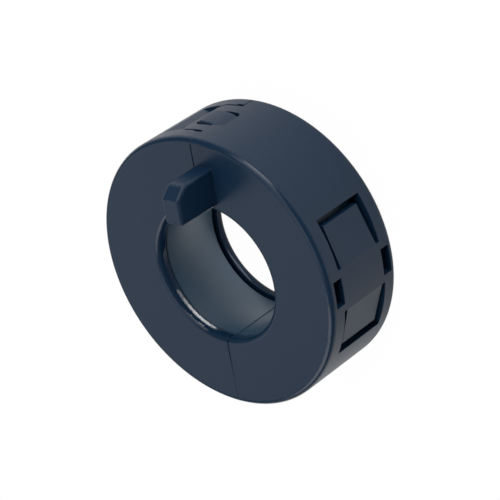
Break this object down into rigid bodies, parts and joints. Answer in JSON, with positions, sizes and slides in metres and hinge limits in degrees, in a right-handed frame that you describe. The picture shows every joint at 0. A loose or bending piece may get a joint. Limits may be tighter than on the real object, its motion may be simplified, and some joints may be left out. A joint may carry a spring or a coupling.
{
  "type": "clip-on ferrite core",
  "caption": "Split ferrite ring in a hinged plastic case that snaps shut round a cable to damp interference, with a grip tab on one face.",
  "frame": {"origin": "on the cable hole's axis, half way along the ring's width", "axes": "+Z along the cable, out of the face that carries the tab; +Y to the latch, -Y to the hinge; +X to the half that swings open. The ring rests on its rear face."},
  "size_m": [0.051, 0.0532, 0.0269],
  "materials": {
    "case_plastic": "satin moulded, slate black",
    "ferrite": "ground, semi-gloss dark grey"
  },
  "bodies": {
    "left_half": {"left_case": "case_plastic", "left_core": "ferrite"},
    "right_half": {"right_case": "case_plastic", "right_core": "ferrite", "latch_loop": "case_plastic"}
  },
  "joints": [
    {"name": "case_hinge", "type": "hinge", "parent": "left_half", "child": "right_half", "pos_m": [0, -0.0255, 0], "axis": [0, 0, -1], "range_deg": [0, 115], "deforming": ["latch_loop"]}
  ]
}
